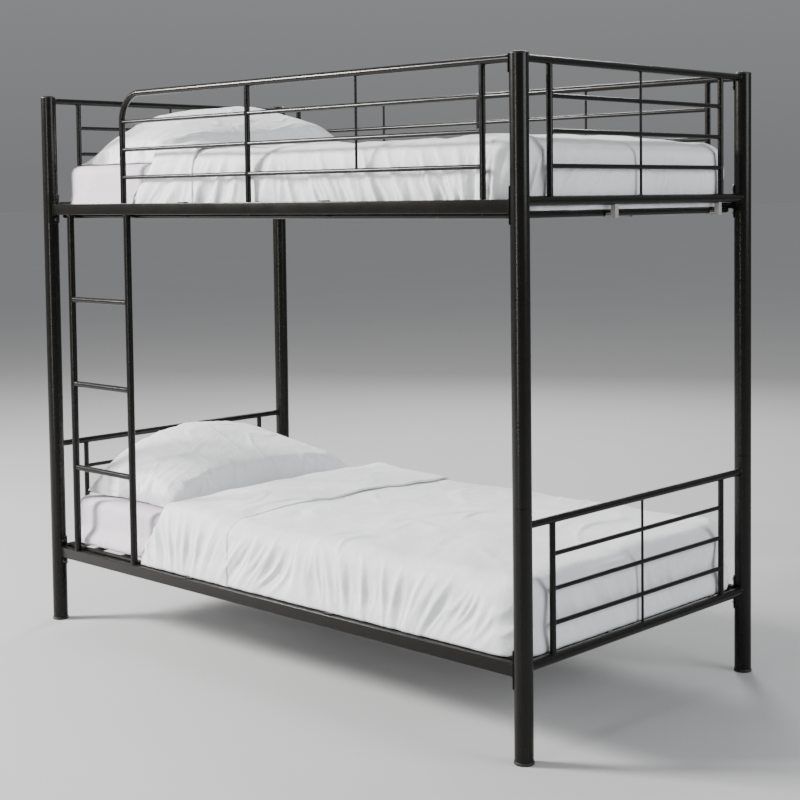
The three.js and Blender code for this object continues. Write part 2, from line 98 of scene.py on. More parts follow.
BUNK_LEVELS = {}
for bunk_name, top_rail_z, bottom_rail_z, rail_z in (
    ("upper", 1680 * MM, 1345 * MM, 1333 * MM),
    ("lower", 573 * MM, 231 * MM, 224 * MM),
):
    BUNK_LEVELS[bunk_name] = {
        "top_rail": top_rail_z,
        "bottom_rail": bottom_rail_z,
        "rail": rail_z,
        "base": low(f"{bunk_name}_mattress").z - GAP,
        "mattress_top": high(f"{bunk_name}_mattress").z,
    }


# ---------------------------------------------------------------- materials
def new_material(name, colour, roughness, metallic=0.0):
    mat = bpy.data.materials.new(name)
    mat.use_nodes = True
    shader = mat.node_tree.nodes["Principled BSDF"]
    shader.inputs["Base Color"].default_value = (*colour, 1)
    shader.inputs["Roughness"].default_value = roughness
    shader.inputs["Metallic"].default_value = metallic
    return mat, shader


class Nodes:
    """Short calls for building a material's node tree."""

    def __init__(self, mat):
        self.tree = mat.node_tree
        self.position = self.add("ShaderNodeTexCoord").outputs["Object"]

    def add(self, kind, **inputs):
        node = self.tree.nodes.new(kind)
        for name, value in inputs.items():
            self.feed(node.inputs[name.replace("_", " ")], value)
        return node

    def feed(self, socket, value):
        if hasattr(value, "is_linked"):
            self.tree.links.new(value, socket)
        else:
            socket.default_value = value

    def noise(self, scale, detail=2.0, roughness=0.5, vector=None):
        node = self.add("ShaderNodeTexNoise", Scale=scale, Detail=detail, Roughness=roughness)
        self.feed(node.inputs["Vector"], vector or self.position)
        return node.outputs["Fac"]

    def remap(self, value, from_low, from_high, to_low, to_high):
        node = self.add("ShaderNodeMapRange")
        self.feed(node.inputs["Value"], value)
        names = ("From Min", "From Max", "To Min", "To Max")
        for name, number in zip(names, (from_low, from_high, to_low, to_high)):
            node.inputs[name].default_value = number
        return node.outputs["Result"]

    def math(self, operation, a, b=0.0):
        node = self.add("ShaderNodeMath")
        node.operation = operation
        self.feed(node.inputs[0], a)
        self.feed(node.inputs[1], b)
        return node.outputs["Value"]

    def scaled(self, x, y, z):
        node = self.add("ShaderNodeMapping")
        self.feed(node.inputs["Vector"], self.position)
        node.inputs["Scale"].default_value = (x, y, z)
        return node.outputs["Vector"]

    def mix(self, factor, a, b):
        node = self.add("ShaderNodeMix")
        node.data_type = "RGBA"
        self.feed(node.inputs["Factor"], factor)
        self.feed(node.inputs["A"], a)
        self.feed(node.inputs["B"], b)
        return node.outputs["Result"]

    def bump(self, height, strength, distance, normal=None):
        node = self.add("ShaderNodeBump", Height=height, Strength=strength, Distance=distance)
        if normal is not None:
            self.feed(node.inputs["Normal"], normal)
        return node.outputs["Normal"]


def powder_coat(name="powder_coat"):
    """Glossy near-black paint with orange peel, dust on what faces up and a few duller patches."""
    mat, shader = new_material(name, (0.011, 0.0105, 0.009), 0.3)
    n = Nodes(mat)
    geometry = n.add("ShaderNodeNewGeometry")
    facing = n.add("ShaderNodeSeparateXYZ", Vector=geometry.outputs["Normal"])
    dusty = n.remap(facing.outputs["Z"], 0.5, 1.0, 0.0, 0.3)
    patches = n.remap(n.noise(9, 4), 0.4, 0.65, 0.25, 1.0)
    dust = n.math("MULTIPLY", dusty, patches)
    paint = n.mix(n.noise(38, 3), (0.0045, 0.0042, 0.0036, 1), (0.0085, 0.008, 0.0066, 1))
    n.feed(shader.inputs["Base Color"], n.mix(dust, paint, (0.03, 0.028, 0.025, 1)))
    smear = n.remap(n.noise(14, 4, 0.5), 0.3, 0.7, 0.22, 0.28)
    n.feed(shader.inputs["Roughness"], n.math("ADD", smear, n.math("MULTIPLY", dust, 0.5)))
    shader.inputs["Specular IOR Level"].default_value = 0.19
    shader.inputs["Coat Weight"].default_value = 0.06
    shader.inputs["Coat Roughness"].default_value = 0.12
    peel = n.bump(n.noise(420, 2), 0.12, 0.0006)
    n.feed(shader.inputs["Normal"], n.bump(n.noise(90, 2), 0.1, 0.0012, peel))
    return mat


def moulded_plastic(name, colour, roughness):
    mat, shader = new_material(name, colour, roughness)
    n = Nodes(mat)
    darker = tuple(c * 0.78 for c in colour) + (1,)
    n.feed(shader.inputs["Base Color"], n.mix(n.noise(60, 3), darker, (*colour, 1)))
    n.feed(shader.inputs["Roughness"], n.remap(n.noise(120, 3), 0.3, 0.7, roughness - 0.08, roughness + 0.1))
    n.feed(shader.inputs["Normal"], n.bump(n.noise(1400, 2), 0.2, 0.0003))
    return mat


def blackened_steel(name="blackened_steel"):
    mat, shader = new_material(name, (0.03, 0.029, 0.027), 0.34, 0.85)
    n = Nodes(mat)
    worn = n.remap(n.noise(260, 4), 0.52, 0.68, 0.0, 1.0)
    n.feed(shader.inputs["Base Color"], n.mix(worn, (0.02, 0.019, 0.018, 1), (0.16, 0.155, 0.15, 1)))
    n.feed(shader.inputs["Roughness"], n.remap(n.noise(300, 2), 0.3, 0.7, 0.24, 0.44))
    n.feed(shader.inputs["Normal"], n.bump(n.noise(900, 2), 0.15, 0.0003))
    return mat


def cotton(name, colour, weave_scale=1500, crease=0.35):
    """Woven cotton: fine threads both ways, soft creases, slight sheen and a faint mottling."""
    mat, shader = new_material(name, colour, 0.86)
    n = Nodes(mat)
    shade = tuple(c * 0.93 for c in colour) + (1,)
    mottled = n.mix(n.remap(n.noise(7, 4, 0.6), 0.35, 0.65, 0.0, 1.0), (*colour, 1), shade)
    n.feed(shader.inputs["Base Color"], mottled)
    shader.inputs["Sheen Weight"].default_value = 0.25
    shader.inputs["Sheen Roughness"].default_value = 0.4
    shader.inputs["Subsurface Weight"].default_value = 0.12
    shader.inputs["Subsurface Radius"].default_value = (0.004, 0.004, 0.0045)
    shader.inputs["Subsurface Scale"].default_value = 1.0
    threads = []
    for axis in ("X", "Y", "Z"):
        wave = n.add("ShaderNodeTexWave", Vector=n.position, Scale=weave_scale / 6.28)
        wave.inputs["Distortion"].default_value = 0.6
        wave.inputs["Detail"].default_value = 1.0
        wave.bands_direction = axis
        threads.append(wave.outputs["Fac"])
    weave = n.math("ADD", n.math("MULTIPLY", threads[0], threads[1]), threads[2])
    woven = n.bump(weave, 0.12, 0.0003)
    fine = n.noise(95, 5, 0.62, n.scaled(1.0, 1.0, 0.45))
    creased = n.bump(fine, crease, 0.004, woven)
    broad = n.bump(n.noise(24, 4, 0.55), crease * 0.8, 0.012, creased)
    n.feed(shader.inputs["Normal"], broad)
    return mat


# ---------------------------------------------------------------- mesh helpers
def side_axes(direction):
    across = Z.cross(direction) if abs(direction.z) < 0.9 else X.cross(direction)
    across.normalize()
    return across, direction.cross(across)


def ring(bm, centre, a, b, radius, segments):
    steps = [2 * math.pi * i / segments for i in range(segments)]
    return [bm.verts.new(centre + a * (radius * math.cos(t)) + b * (radius * math.sin(t))) for t in steps]


def bridge(bm, first, second):
    count = len(first)
    for i in range(count):
        j = (i + 1) % count
        bm.faces.new((first[i], first[j], second[j], second[i]))


def tube(bm, points, radius, segments=32):
    """A round bar along a line of points, closed at both ends."""
    directions = []
    for i in range(len(points)):
        before, after = points[max(i - 1, 0)], points[min(i + 1, len(points) - 1)]
        directions.append((after - before).normalized())
    a, b = side_axes(directions[0])
    rings = []
    for point, direction in zip(points, directions):
        a = (a - direction * a.dot(direction)).normalized()
        b = direction.cross(a)
        rings.append(ring(bm, point, a, b, radius, segments))
    for first, second in zip(rings, rings[1:]):
        bridge(bm, first, second)
    bm.faces.new(list(reversed(rings[0])))
    bm.faces.new(rings[-1])


def lathe(bm, profile, centre, axis=Z, segments=64):
    """A profile of (radius, height) pairs turned about an axis."""
    a, b = side_axes(axis)
    rings = []
    for radius, height in profile:
        point = centre + axis * height
        rings.append([bm.verts.new(point)] if radius < 1e-7 else ring(bm, point, a, b, radius, segments))
    for first, second in zip(rings, rings[1:]):
        if len(first) == 1 and len(second) == 1:
            continue
        if len(first) == 1 or len(second) == 1:
            tip, loop = (first[0], second) if len(first) == 1 else (second[0], first)
            for i in range(len(loop)):
                pair = (loop[i], loop[(i + 1) % len(loop)])
                bm.faces.new((tip, *pair) if len(first) > 1 else (tip, *reversed(pair)))
        else:
            bridge(bm, first, second)


def weld(bm, centre, rod_axis, tube_axis, rod_r, tube_r, bead=1.5 * MM, segments=36):
    """The bead where a rod meets a larger tube, along the line where they cross."""
    across = rod_axis.cross(tube_axis)
    path = []
    for i in range(segments):
        t = 2 * math.pi * i / segments
        along = rod_r * math.cos(t)
        aside = rod_r * math.sin(t)
        reach = math.sqrt(max(tube_r**2 - aside**2, 0))
        path.append(centre + rod_axis * reach + tube_axis * along + across * aside)
    rings = []
    for i, point in enumerate(path):
        direction = (path[(i + 1) % segments] - path[i - 1]).normalized()
        outward = (point - centre - rod_axis * (point - centre).dot(rod_axis)).normalized()
        a = (outward - direction * outward.dot(direction)).normalized()
        size = bead * (1 + 0.25 * noise.noise(point * 900))
        rings.append(ring(bm, point, a, direction.cross(a), size, 8))
    for i in range(segments):
        bridge(bm, rings[i], rings[(i + 1) % segments])


def bevelled_box(bm, corner_a, corner_b, bevel, segments=3):
    size, centre = corner_b - corner_a, (corner_a + corner_b) / 2
    matrix = Matrix.Translation(centre) @ Matrix.Diagonal((*size, 1))
    made = bmesh.ops.create_cube(bm, size=1, matrix=matrix)
    edges = list({e for v in made["verts"] for e in v.link_edges})
    bmesh.ops.bevel(bm, geom=edges, offset=bevel, segments=segments, affect="EDGES", profile=0.5)


def finish_mesh(bm, name, material, smooth_angle=38):
    bmesh.ops.recalc_face_normals(bm, faces=bm.faces)
    mesh = bpy.data.meshes.new(name)
    bm.to_mesh(mesh)
    bm.free()
    mesh.materials.append(material)
    mesh.shade_smooth()
    mesh.set_sharp_from_angle(angle=math.radians(smooth_angle))
    obj = bpy.data.objects.new(name, mesh)
    bpy.context.collection.objects.link(obj)
    return obj


def piece(obj, slot, *nodes):
    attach(obj, "root")
    if nodes:
        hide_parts(*nodes)
    return obj


# ---------------------------------------------------------------- materials in use
PAINT = powder_coat()
BLACK_PLASTIC = moulded_plastic("black_plastic", (0.012, 0.012, 0.011), 0.48)
GREY_PLASTIC = moulded_plastic("clip_plastic", (0.34, 0.335, 0.315), 0.45)
BOLT_STEEL = blackened_steel()
SHEET_COTTON = cotton("sheet_cotton", (0.71, 0.655, 0.715), crease=0.3)
WHITE_COTTON = cotton("white_cotton", (0.88, 0.895, 0.91))
TICKING = cotton("mattress_ticking", (0.72, 0.71, 0.7), 900, 0.2)


# ---------------------------------------------------------------- end frames
def post_tube(bm, x, y, z0, z1):
    edge = 0.6 * MM
    bore = POST_R - POST_WALL
    profile = [
        (bore, z0),
        (POST_R - edge, z0),
        (POST_R, z0 + edge),
        (POST_R, z1 - edge),
        (POST_R - edge, z1),
        (bore, z1),
        (bore, z0),
    ]
    lathe(bm, profile, Vector((x, y, 0)))


def end_frame(bunk, end):
    node = f"{bunk}_{end}_end_frame"
    level = BUNK_LEVELS[bunk]
    x = ENDS[end] * POST_X
    top_z, bottom_z = level["top_rail"], level["bottom_rail"]
    bm = bmesh.new()
    for sy in LONG_SIDES.values():
        y = sy * POST_Y
        post_tube(bm, x, y, low(node).z, high(node).z)
        for z, radius in ((top_z, TOP_RAIL_R), (bottom_z, BOTTOM_RAIL_R)):
            weld(bm, Vector((x, y, z)), -sy * Y, Z, radius, POST_R, 1.8 * MM)
    reach = POST_Y - POST_R * 0.9
    tube(bm, [Vector((x, -reach, top_z)), Vector((x, reach, top_z))], TOP_RAIL_R)
    tube(bm, [Vector((x, -reach, bottom_z)), Vector((x, reach, bottom_z))], BOTTOM_RAIL_R)
    for y, radius in ((-UPRIGHT_Y, UPRIGHT_R), (0, THIN_ROD_R), (UPRIGHT_Y, UPRIGHT_R)):
        tube(bm, [Vector((x, y, bottom_z)), Vector((x, y, top_z))], radius, 28)
        weld(bm, Vector((x, y, bottom_z)), Z, Y, radius, BOTTOM_RAIL_R, 1.3 * MM)
        weld(bm, Vector((x, y, top_z)), -Z, Y, radius, TOP_RAIL_R, 1.3 * MM)
    for i in (1, 2, 3):
        z = top_z + (bottom_z - top_z) * i / 4
        tube(bm, [Vector((x, -UPRIGHT_Y, z)), Vector((x, UPRIGHT_Y, z))], BAR_R, 24)
        for sy in (-1, 1):
            weld(bm, Vector((x, sy * UPRIGHT_Y, z)), -sy * Y, Z, BAR_R, UPRIGHT_R, 1.1 * MM)
            weld(bm, Vector((x, 0, z)), sy * Y, Z, 0.8 * THIN_ROD_R, 1.02 * BAR_R, 0.9 * MM, 20)
    piece(finish_mesh(bm, f"{node}_steel", PAINT), "frame_paint", node)


for bunk in BUNKS:
    for end in ENDS:
        end_frame(bunk, end)


# ---------------------------------------------------------------- middle posts and caps
def middle_post(where):
    node = f"middle_post_{where}"
    x, y = middle(node).x, middle(node).y
    z0, z1 = low(node).z, high(node).z
    spigot_r, bore = PLUG_R, POST_R - 2 * POST_WALL - GAP
    edge = 0.6 * MM
    profile = [
        (bore, z0),
        (spigot_r - edge, z0),
        (spigot_r, z0 + edge),
        (spigot_r, z0 + SPIGOT),
        (POST_R - edge, z0 + SPIGOT),
        (POST_R, z0 + SPIGOT + edge),
        (POST_R, z1 - SPIGOT - edge),
        (POST_R - edge, z1 - SPIGOT),
        (spigot_r, z1 - SPIGOT),
        (spigot_r, z1 - edge),
        (spigot_r - edge, z1),
        (bore, z1),
        (bore, z0),
    ]
    bm = bmesh.new()
    lathe(bm, profile, Vector((x, y, 0)))
    piece(finish_mesh(bm, f"{node}_steel", PAINT), "frame_paint", node)


def arc_profile(radius, height, start, end, steps, centre_r, centre_h):
    turn = [start + (end - start) * i / steps for i in range(steps + 1)]
    return [(centre_r + radius * math.cos(t), centre_h + height * math.sin(t)) for t in turn]


def post_cap(where):
    node = f"post_cap_{where}"
    top, bottom = high(node).z, low(node).z
    flange_r = (high(node).x - low(node).x) / 2
    seat = top - CAP_HEIGHT
    profile = [(0, bottom), (PLUG_R, bottom), (PLUG_R, seat), (flange_r, seat), (flange_r, seat + 2 * MM)]
    profile += arc_profile(flange_r, 5 * MM, 0, math.pi / 2, 10, 0, seat + 2 * MM)[1:-1]
    profile += [(0, top)]
    bm = bmesh.new()
    lathe(bm, profile, Vector((middle(node).x, middle(node).y, 0)))
    piece(finish_mesh(bm, f"{node}_plastic", BLACK_PLASTIC), "cap_plastic", node)


def foot_cap(where):
    node = f"foot_cap_{where}"
    flange_r = (high(node).x - low(node).x) / 2
    lip = 2 * MM
    seat = FOOT_HEIGHT
    profile = [(0, 0), (flange_r - lip, 0)]
    profile += arc_profile(lip, lip, -math.pi / 2, 0, 6, flange_r - lip, lip)[1:]
    profile += arc_profile(lip, lip, 0, math.pi / 2, 6, flange_r - lip, seat - lip)
    profile += [(PLUG_R, seat), (PLUG_R, high(node).z), (0, high(node).z)]
    bm = bmesh.new()
    lathe(bm, profile, Vector((middle(node).x, middle(node).y, 0)))
    piece(finish_mesh(bm, f"{node}_plastic", BLACK_PLASTIC), "cap_plastic", node)


for end in ENDS:
    for side in LONG_SIDES:
        middle_post(f"{end}_{side}")
        post_cap(f"{end}_{side}")
        foot_cap(f"{end}_{side}")


# ---------------------------------------------------------------- side rails, saddles and bolts
def saddle(bm, sx, y, z0, z1):
    """A curved plate on a post's inner side, with softened edges."""
    steps = 20
    edge = 0.8 * MM
    inner, outer = POST_R + GAP, SADDLE_R
    towards = math.pi if sx > 0 else 0
    section = []
    for i in range(steps + 1):
        t = towards - SADDLE_HALF_ANGLE + 2 * SADDLE_HALF_ANGLE * i / steps
        section.append((outer, t))
    for i in range(steps + 1):
        t = towards + SADDLE_HALF_ANGLE - 2 * SADDLE_HALF_ANGLE * i / steps
        section.append((inner, t))
    centre = Vector((sx * POST_X, y, 0))

    def loop(z, shrink):
        points = []
        for r, t in section:
            r_in = r - shrink if r == outer else r
            points.append(bm.verts.new(centre + Vector((r_in * math.cos(t), r_in * math.sin(t), z))))
        return points

    loops = [loop(z0, edge), loop(z0 + edge, 0), loop(z1 - edge, 0), loop(z1, edge)]
    for first, second in zip(loops, loops[1:]):
        bridge(bm, first, second)
    bm.faces.new(list(reversed(loops[0])))
    bm.faces.new(loops[-1])


def side_rail(bunk, side):
    node = f"{bunk}_{side}_side_rail"
    y = LONG_SIDES[side] * POST_Y
    z = BUNK_LEVELS[bunk]["rail"]
    end_x = POST_X - POST_R - GAP - SADDLE_THICKNESS / 2
    half = Vector((end_x, RAIL_THICKNESS / 2, RAIL_HEIGHT / 2))
    centre = Vector((0, y, z))
    bm = bmesh.new()
    bevelled_box(bm, centre - half, centre + half, 2.2 * MM, 4)
    for sx in ENDS.values():
        saddle(bm, sx, y, low(node).z, high(node).z)
        face_x = sx * (POST_X - SADDLE_R)
        turns = ((-1, -1), (1, -1), (1, 1), (-1, 1))
        seam = [Vector((face_x, y + a * half.y, z + b * half.z)) for a, b in turns]
        for first, second in zip(seam, seam[1:] + seam[:1]):
            tube(bm, [first, second], 1.8 * MM, 10)
    piece(finish_mesh(bm, f"{node}_steel", PAINT), "frame_paint", node)


def bolt(node, sx):
    """A button head with a hexagon socket, and its shank into the post."""
    y, z = middle(node).y, middle(node).z
    head_r = (high(node).y - low(node).y) / 2
    tip = low(node).x if sx > 0 else high(node).x
    seat = tip + sx * 5 * MM
    axis = -sx * X
    dome = arc_profile(head_r * 0.98, 4.2 * MM, 0, math.pi * 0.36, 8, 0, 0.8 * MM)
    socket_r = head_r * 0.4
    profile = [(0, 0), (head_r, 0), (head_r, 0.8 * MM), *dome[1:]]
    profile += [(socket_r, 4.7 * MM), (socket_r * 0.98, 2.2 * MM), (0, 1.6 * MM)]
    bm = bmesh.new()
    lathe(bm, profile, Vector((seat, y, z)), axis, 36)
    far = high(node).x if sx > 0 else low(node).x
    tube(bm, [Vector((far, y, z)), Vector((seat - sx * 0.5 * MM, y, z))], 4 * MM, 20)
    piece(finish_mesh(bm, f"{node}_steel", BOLT_STEEL, 30), "bolt_steel", node)


for bunk in BUNKS:
    for side in LONG_SIDES:
        side_rail(bunk, side)
        for end, sx in ENDS.items():
            for place in ("top", "bottom"):
                bolt(f"rail_bolt_{bunk}_{side}_{end}_{place}", sx)
for where, sx in (("front_foot", 1), ("rear_foot", 1), ("rear_head", -1)):
    bolt(f"guard_bolt_{where}", sx)


# ---------------------------------------------------------------- guard rails
GUARD_TOP = BUNK_LEVELS["upper"]["top_rail"]
GUARD_FOOT = BUNK_LEVELS["upper"]["rail"] + RAIL_HEIGHT / 2 + GAP
GUARD_STEP = (BUNK_LEVELS["upper"]["bottom_rail"] - GUARD_TOP) / 4
GUARD_BARS = [GUARD_TOP + GUARD_STEP * i for i in (1, 2, 3)]
GUARD_BEND_R = 85 * MM
GUARD_STUD_R = 4 * MM
GUARD_STUD_THROUGH = 5 * MM
GUARD_SADDLE_DROP = 12 * MM
GUARD_SADDLE_HALF = 22 * MM
UPRIGHT_X = 861 * MM
ROD_X = 430 * MM


def guard_body(bm, y, from_x, to_x, uprights, rods):
    for z in GUARD_BARS:
        tube(bm, [Vector((from_x, y, z)), Vector((to_x, y, z))], BAR_R, 24)
    stud_end = BUNK_LEVELS["upper"]["rail"] - RAIL_HEIGHT / 2 - GUARD_STUD_THROUGH
    for x in uprights:
        tube(bm, [Vector((x, y, GUARD_FOOT)), Vector((x, y, GUARD_TOP))], UPRIGHT_R, 28)
        tube(bm, [Vector((x, y, stud_end)), Vector((x, y, GUARD_FOOT))], GUARD_STUD_R, 16)
        weld(bm, Vector((x, y, GUARD_TOP)), -Z, X, UPRIGHT_R, TOP_RAIL_R, 1.3 * MM)
        for z in GUARD_BARS:
            for sx in (-1, 1):
                if from_x < x + sx * UPRIGHT_R * 2 < to_x:
                    weld(bm, Vector((x, y, z)), sx * X, Z, BAR_R, UPRIGHT_R, 1.1 * MM)
    for x in rods:
        tube(bm, [Vector((x, y, GUARD_BARS[-1])), Vector((x, y, GUARD_TOP))], THIN_ROD_R, 20)
        weld(bm, Vector((x, y, GUARD_TOP)), -Z, X, THIN_ROD_R, TOP_RAIL_R, 1.1 * MM)
        for z in GUARD_BARS:
            weld(bm, Vector((x, y, z)), Z, X, THIN_ROD_R, BAR_R, 1.0 * MM, 24)


def guard_end(bm, sx, y):
    centre_z = GUARD_TOP - GUARD_SADDLE_DROP
    saddle(bm, sx, y, centre_z - GUARD_SADDLE_HALF, centre_z + GUARD_SADDLE_HALF)
    face = Vector((sx * POST_X, y, GUARD_TOP))
    weld(bm, face, -sx * X, Z, TOP_RAIL_R, SADDLE_R, 1.6 * MM)


def front_guard():
    y = -POST_Y
    start = low("front_guard_rail").x + TOP_RAIL_R
    bm = bmesh.new()
    guard_body(bm, y, start, UPRIGHT_X, (0, UPRIGHT_X), (ROD_X,))
    points = [Vector((start, y, GUARD_FOOT))]
    for i in range(25):
        t = math.pi / 2 * i / 24
        x = start + GUARD_BEND_R * (1 - math.cos(t))
        z = GUARD_TOP - GUARD_BEND_R * (1 - math.sin(t))
        points.append(Vector((x, y, z)))
    points.append(Vector((POST_X - SADDLE_R + 1 * MM, y, GUARD_TOP)))
    tube(bm, points, TOP_RAIL_R)
    for z in GUARD_BARS:
        if z < GUARD_TOP - GUARD_BEND_R:
            weld(bm, Vector((start, y, z)), X, Z, BAR_R, TOP_RAIL_R, 1.1 * MM)
    guard_end(bm, 1, y)
    piece(finish_mesh(bm, "front_guard_rail_steel", PAINT), "frame_paint", "front_guard_rail")


def rear_guard():
    bm = bmesh.new()
    guard_body(bm, POST_Y, -UPRIGHT_X, UPRIGHT_X, (-UPRIGHT_X, 0, UPRIGHT_X), (-ROD_X, ROD_X))
    reach = POST_X - SADDLE_R + 1 * MM
    tube(bm, [Vector((-reach, POST_Y, GUARD_TOP)), Vector((reach, POST_Y, GUARD_TOP))], TOP_RAIL_R)
    for sx in (-1, 1):
        guard_end(bm, sx, POST_Y)
    piece(finish_mesh(bm, "rear_guard_rail_steel", PAINT), "frame_paint", "rear_guard_rail")


front_guard()
rear_guard()


# ---------------------------------------------------------------- ladder
def ladder():
    y = -POST_Y
    z0 = BUNK_LEVELS["lower"]["rail"] + RAIL_HEIGHT / 2 + GAP
    z1 = BUNK_LEVELS["upper"]["rail"] - RAIL_HEIGHT / 2 - GAP
    stiles = (low("ladder").x + STILE_R, high("ladder").x - STILE_R)
    bm = bmesh.new()
    for x in stiles:
        tube(bm, [Vector((x, y, z0)), Vector((x, y, z1))], STILE_R)
        tube(bm, [Vector((x, y, low("ladder").z)), Vector((x, y, high("ladder").z))], 5 * MM, 16)
        bead = arc_profile(1.2 * MM, 1.2 * MM, 0, 2 * math.pi, 10, STILE_R, 0)
        for z in (z0 + 1.2 * MM, z1 - 1.2 * MM):
            lathe(bm, bead, Vector((x, y, z)), Z, 32)
    for i in (1, 2, 3):
        z = z0 + (z1 - z0) * i / 4
        tube(bm, [Vector((stiles[0], y, z)), Vector((stiles[1], y, z))], RUNG_R)
        weld(bm, Vector((stiles[0], y, z)), X, Z, RUNG_R, STILE_R, 1.6 * MM)
        weld(bm, Vector((stiles[1], y, z)), -X, Z, RUNG_R, STILE_R, 1.6 * MM)
    piece(finish_mesh(bm, "ladder_steel", PAINT), "frame_paint", "ladder")


ladder()


# ---------------------------------------------------------------- mattress bases and clips
def mattress_base(bunk):
    node = f"{bunk}_mattress_base"
    top = BUNK_LEVELS[bunk]["base"]
    z = top - BASE_R
    half_x, half_y = 945 * MM, 467 * MM
    slat_t, slat_w, slats = 3 * MM, 45 * MM, 12
    bm = bmesh.new()
    corner = 26 * MM
    points = []
    for turn, (cx, cy) in enumerate(((1, 1), (-1, 1), (-1, -1), (1, -1))):
        for i in range(7):
            t = math.pi / 2 * (turn + i / 6)
            centre = Vector((cx * (half_x - corner), cy * (half_y - corner), z))
            points.append(centre + Vector((corner * math.cos(t), corner * math.sin(t), 0)))
    points.append((points[0] + points[-1]) / 2)
    points.insert(0, points[-1])
    tube(bm, points, BASE_R, 24)
    spine_z = top - slat_t - BASE_R + 1 * MM
    tube(bm, [Vector((-half_x, 0, spine_z)), Vector((half_x, 0, spine_z))], BASE_R, 24)
    for i in range(slats):
        x = -half_x + 2 * half_x * (i + 1) / (slats + 1)
        corner_a = Vector((x - slat_w / 2, -half_y, top - slat_t - 0.5 * MM))
        corner_b = Vector((x + slat_w / 2, half_y, top - 0.5 * MM))
        bevelled_box(bm, corner_a, corner_b, 0.8 * MM, 2)
    rail_face = POST_Y - RAIL_THICKNESS / 2 - 0.5 * MM
    hook_z = BUNK_LEVELS[bunk]["rail"] + RAIL_HEIGHT / 2 + GAP
    strap = 3 * MM
    for sx in (-1, 1):
        for sy in (-1, 1):
            x0, x1 = sx * 300 * MM - 15 * MM, sx * 300 * MM + 15 * MM

            def plate(y0, y1, z0, z1):
                ya, yb = (y0, y1) if sy > 0 else (-y1, -y0)
                bevelled_box(bm, Vector((x0, ya, z0)), Vector((x1, yb, z1)), 0.7 * MM, 2)

            plate(half_y, rail_face, z - strap, z + strap)
            plate(rail_face - strap, rail_face, min(z, hook_z), hook_z + strap)
            plate(rail_face - strap, POST_Y + 4 * MM, hook_z, hook_z + strap)
    piece(finish_mesh(bm, f"{node}_steel", PAINT), "frame_paint", node)


for bunk in BUNKS:
    mattress_base(bunk)
    for end in ENDS:
        for place in ("front", "rear"):
            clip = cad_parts[f"base_clip_{bunk}_{end}_{place}"]
            clip.data.materials.clear()
            clip.data.materials.append(GREY_PLASTIC)


# ---------------------------------------------------------------- bedding helpers
def plan_ring(bm, x0, x1, half_y, corner, z, steps=8):
    """A rounded rectangle at height z."""
    ring_points = []
    for turn, (x, y) in enumerate(((x1, half_y), (x0, half_y), (x0, -half_y), (x1, -half_y))):
        cx = x - corner if turn in (0, 3) else x + corner
        cy = y - corner if turn < 2 else y + corner
        for i in range(steps + 1):
            t = math.pi / 2 * (turn + i / steps)
            ring_points.append(bm.verts.new((cx + corner * math.cos(t), cy + corner * math.sin(t), z)))
    return ring_points


def slab(x0, x1, half_y, z0, z1, corner, edge, steps=6):
    """A slab with rounded corners in plan and rounded edges, as a bmesh."""
    bm = bmesh.new()
    levels = []
    for i in range(steps + 1):
        t = math.pi / 2 * i / steps
        levels.append((edge * (1 - math.sin(t)), z0 + edge * (1 - math.cos(t))))
    for i in range(steps + 1):
        t = math.pi / 2 * i / steps
        levels.append((edge * (1 - math.cos(t)), z1 - edge * (1 - math.sin(t))))
    rings = [plan_ring(bm, x0 + d, x1 - d, half_y - d, corner - d, z) for d, z in levels]
    for first, second in zip(rings, rings[1:]):
        bridge(bm, first, second)
    bm.faces.new(list(reversed(rings[0])))
    bm.faces.new(rings[-1])
    return bm


def evaluated_mesh(obj):
    graph = bpy.context.evaluated_depsgraph_get()
    return bpy.data.meshes.new_from_object(obj.evaluated_get(graph), depsgraph=graph)


def bake_modifiers(obj):
    mesh = evaluated_mesh(obj)
    obj.modifiers.clear()
    obj.data = mesh
    return obj


def remeshed(bm, name, material, voxel):
    obj = finish_mesh(bm, name, material, 180)
    remesh = obj.modifiers.new("remesh", "REMESH")
    remesh.mode = "VOXEL"
    remesh.voxel_size = voxel
    bake_modifiers(obj)
    obj.data.materials.clear()
    obj.data.materials.append(material)
    obj.data.shade_smooth()
    return obj


def simulate(obj, frames, cap, pressure=0.0, gravity=0.0, shrink=0.0, bending=1.0, pinned=()):
    """Cloth simulation, its movement held to cap, written back into the mesh."""
    rest = [v.co.copy() for v in obj.data.vertices]
    cloth = obj.modifiers.new("cloth", "CLOTH")
    settings = cloth.settings
    settings.quality = 5
    settings.mass = 0.3
    settings.tension_stiffness = 15
    settings.compression_stiffness = 15
    settings.shear_stiffness = 5
    settings.bending_stiffness = bending
    settings.shrink_min = shrink
    settings.use_pressure = pressure > 0
    settings.uniform_pressure_force = pressure
    settings.effector_weights.gravity = gravity
    cloth.collision_settings.use_collision = False
    if pinned:
        group = obj.vertex_groups.new(name="pinned")
        group.add(list(pinned), 1.0, "REPLACE")
        settings.vertex_group_mass = "pinned"
    cloth.point_cache.frame_start = 1
    cloth.point_cache.frame_end = frames
    for number in range(1, frames + 1):
        bpy.context.scene.frame_set(number)
    moved = evaluated_mesh(obj)
    for v, new, old in zip(obj.data.vertices, moved.vertices, rest):
        step = new.co - old
        if step.length > cap:
            step *= cap / step.length
        v.co = old + step
    bpy.data.meshes.remove(moved)
    obj.modifiers.remove(cloth)
    obj.vertex_groups.clear()
    bpy.context.scene.frame_set(1)


def subdivided(obj):
    subdivision = obj.modifiers.new("subdivision", "SUBSURF")
    subdivision.levels = 1
    return bake_modifiers(obj)


